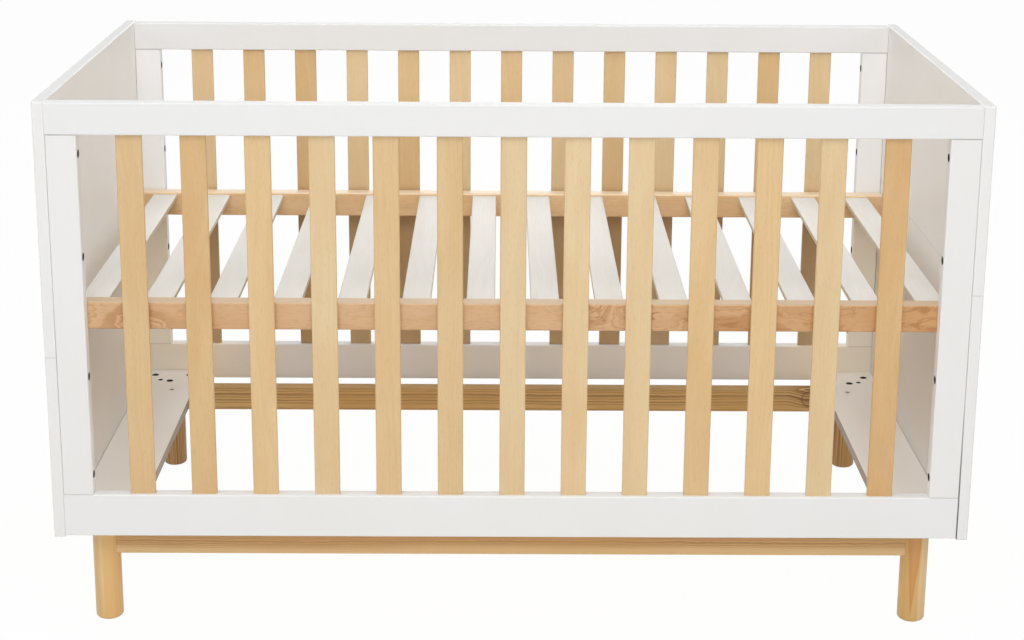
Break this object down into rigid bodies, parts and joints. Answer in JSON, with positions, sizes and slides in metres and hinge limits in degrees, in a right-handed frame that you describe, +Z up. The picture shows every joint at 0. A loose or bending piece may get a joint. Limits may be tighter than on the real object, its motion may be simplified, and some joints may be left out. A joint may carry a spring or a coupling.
{
  "type": "convertible cot bed",
  "caption": "Convertible cot bed with slatted sides, plain end boards in tiers, a lift-out slatted mattress base and a low stand of round legs and rails, white and natural wood.",
  "frame": {"origin": "on the floor, under the middle of the bed", "axes": "+X along the bed to the head end, +Y across it to the rear, +Z up"},
  "size_m": [1.452, 0.77, 0.866],
  "materials": {
    "white_board": "smooth white lacquer on board",
    "white_frame": "smooth white lacquer on solid wood",
    "grey_board": "warm off-white lacquer on board",
    "pine": "clear satin lacquer on pine",
    "red_beech": "clear satin lacquer on figured beech",
    "white_slat": "white stain on slats",
    "black_steel": "zinc-plated steel",
    "zinc_steel": "zinc-plated steel",
    "insert_brass": "plain",
    "dowel_wood": "raw",
    "beech": "clear satin lacquer on beech"
  },
  "bodies": {
    "bed_frame": {"head_board_lower": "white_board", "foot_board_lower": "white_board", "front_top_rail": "white_frame", "front_bottom_rail": "white_frame", "front_foot_stile": "white_frame", "front_head_stile": "white_frame", "rear_top_rail": "white_frame", "rear_bottom_rail": "white_frame", "rear_foot_stile": "white_frame", "rear_head_stile": "white_frame", "head_floor_board": "grey_board", "foot_floor_board": "grey_board", "front_foot_leg": "pine", "front_head_leg": "pine", "rear_foot_leg": "pine", "rear_head_leg": "pine", "front_leg_rail": "pine", "rear_leg_rail": "pine", "side_bolts": "black_steel", "short_bolts": "black_steel", "base_brackets": "zinc_steel", "leg_plates": "zinc_steel", "wood_screws": "zinc_steel", "lower_inserts": "insert_brass", "dowels": "dowel_wood", "front_slat_1": "beech", "front_slat_2": "beech", "front_slat_3": "beech", "front_slat_4": "beech", "front_slat_5": "beech", "front_slat_6": "beech", "front_slat_7": "beech", "front_slat_8": "beech", "front_slat_9": "beech", "front_slat_10": "beech", "front_slat_11": "beech", "front_slat_12": "beech", "front_slat_13": "beech", "rear_slat_1": "beech", "rear_slat_2": "beech", "rear_slat_3": "beech", "rear_slat_4": "beech", "rear_slat_5": "beech", "rear_slat_6": "beech", "rear_slat_7": "beech", "rear_slat_8": "beech", "rear_slat_9": "beech", "rear_slat_10": "beech", "rear_slat_11": "beech", "rear_slat_12": "beech", "rear_slat_13": "beech"},
    "mattress_base": {"front_base_rail": "red_beech", "rear_base_rail": "red_beech", "base_slats": "white_slat", "base_inserts": "insert_brass"},
    "head_tier": {"head_board_upper": "white_board", "head_upper_inserts": "insert_brass"},
    "foot_tier": {"foot_board_upper": "white_board", "foot_upper_inserts": "insert_brass"}
  },
  "joints": [
    {"name": "base_lift", "type": "slide", "parent": "bed_frame", "child": "mattress_base", "axis": [0, 0, 1], "range_m": [0, 0.38]},
    {"name": "head_tier_off", "type": "slide", "parent": "bed_frame", "child": "head_tier", "axis": [1, 0, 0], "range_m": [0, 0.15]},
    {"name": "foot_tier_off", "type": "slide", "parent": "bed_frame", "child": "foot_tier", "axis": [-1, 0, 0], "range_m": [0, 0.15]}
  ]
}
